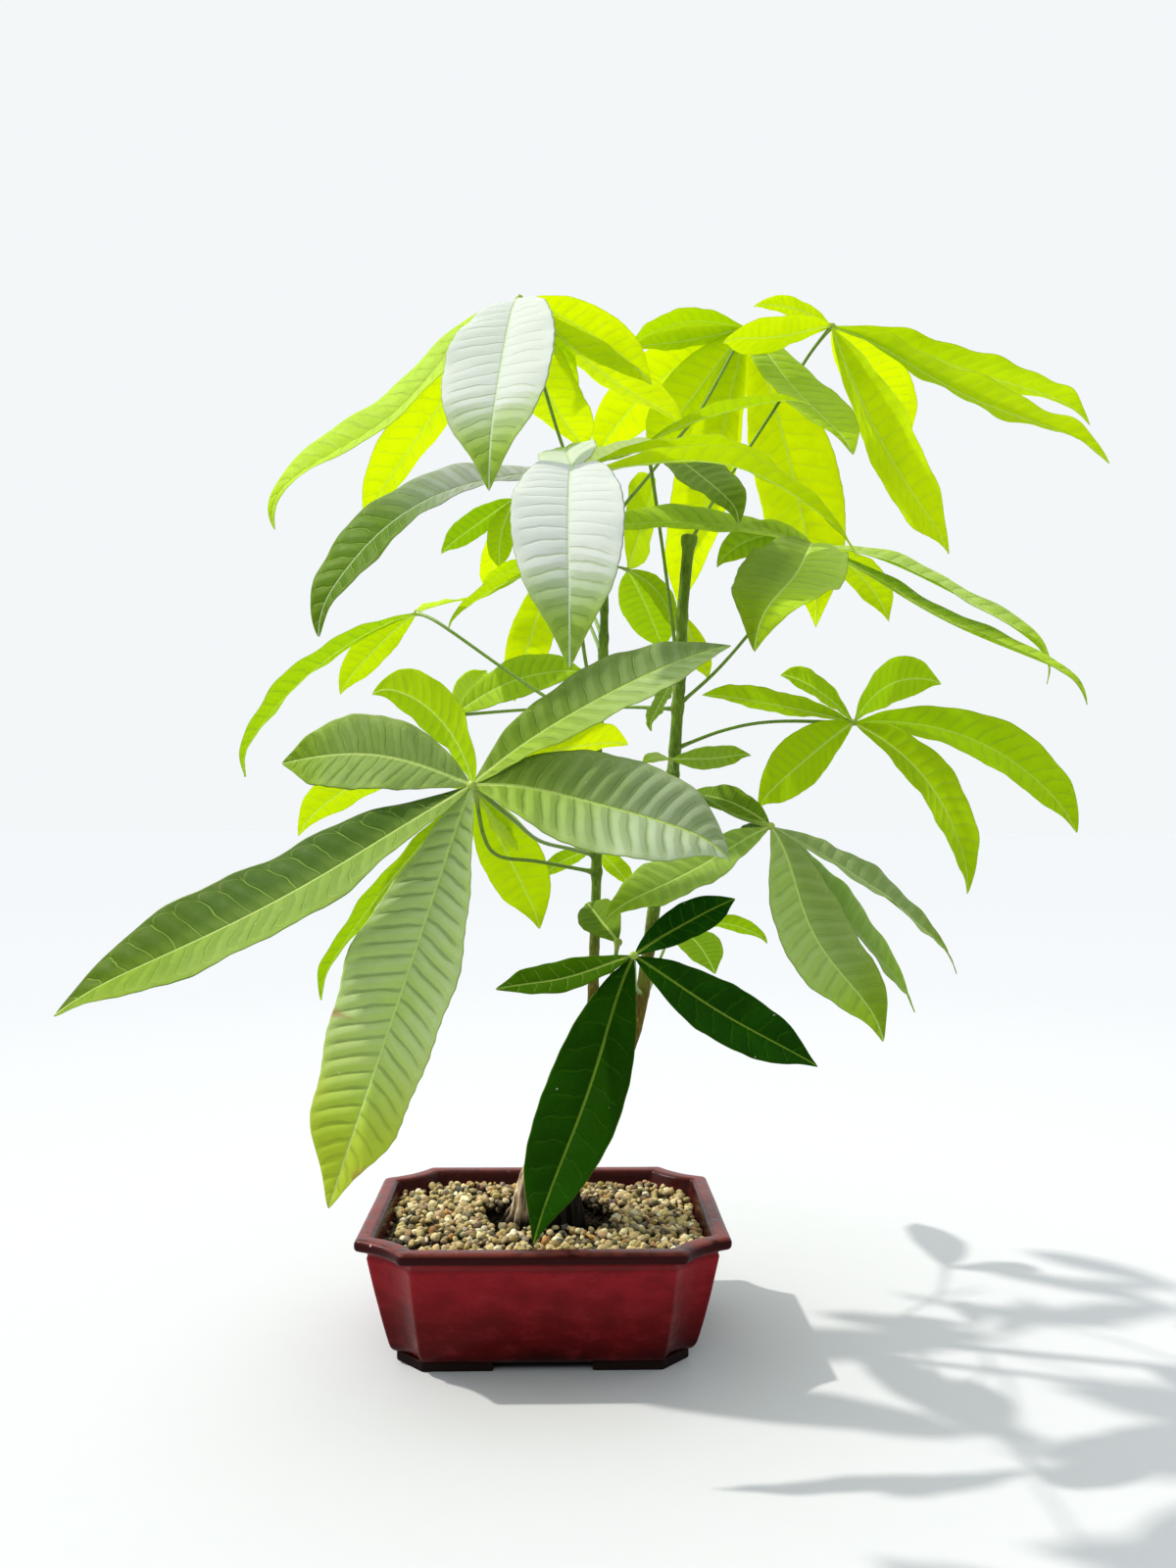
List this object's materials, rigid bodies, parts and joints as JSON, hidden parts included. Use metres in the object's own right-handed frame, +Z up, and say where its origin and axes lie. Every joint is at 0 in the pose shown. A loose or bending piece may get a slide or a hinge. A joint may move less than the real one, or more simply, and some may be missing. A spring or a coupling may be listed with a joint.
{
  "type": "potted money tree",
  "caption": "Small money tree with hand-shaped drooping leaves on slender stems from a swollen root base, in a low burgundy glazed rectangular pot topped with gravel.",
  "frame": {"origin": "centre of the whole object's footprint box (leaves included), at the height of the surface that the pot's feet stand on", "axes": "+Z up; +X to the right along the pot's long side, as seen from the front; +Y towards the back"},
  "size_m": [0.564, 0.4394, 0.6367],
  "materials": {
    "glaze": "gloss",
    "screen_plastic": "matte",
    "soil": "matte",
    "gravel": "matte",
    "bark": "matte",
    "stem": "satin",
    "leaf_bright": "satin",
    "leaf_dark": "satin"
  },
  "bodies": {
    "root": {"drain_screen_left": "screen_plastic", "drain_screen_right": "screen_plastic", "gravel": "gravel", "leaf_back_small": "leaf_bright", "leaf_centre_back": "leaf_bright", "leaf_crown_small": "leaf_bright", "leaf_front_left": "leaf_dark", "leaf_left_back_small": "leaf_bright", "leaf_left_centre_small": "leaf_dark", "leaf_left_middle": "leaf_bright", "leaf_left_upper_small": "leaf_bright", "leaf_low_back_right": "leaf_dark", "leaf_low_front": "leaf_dark", "leaf_lower_left_back": "leaf_bright", "leaf_right_lower": "leaf_dark", "leaf_right_middle": "leaf_bright", "leaf_right_upper": "leaf_dark", "leaf_top_centre": "leaf_bright", "leaf_top_front": "leaf_dark", "leaf_top_left": "leaf_bright", "leaf_top_right": "leaf_bright", "pot": "glaze", "root_base": "bark", "soil": "soil", "sprout_left_low": "leaf_dark", "sprout_low_oval": "leaf_dark", "sprout_right_curled": "leaf_dark", "sprout_right_leaflet": "leaf_dark", "stem_left": "stem", "stem_right": "stem"}
  },
  "joints": []
}
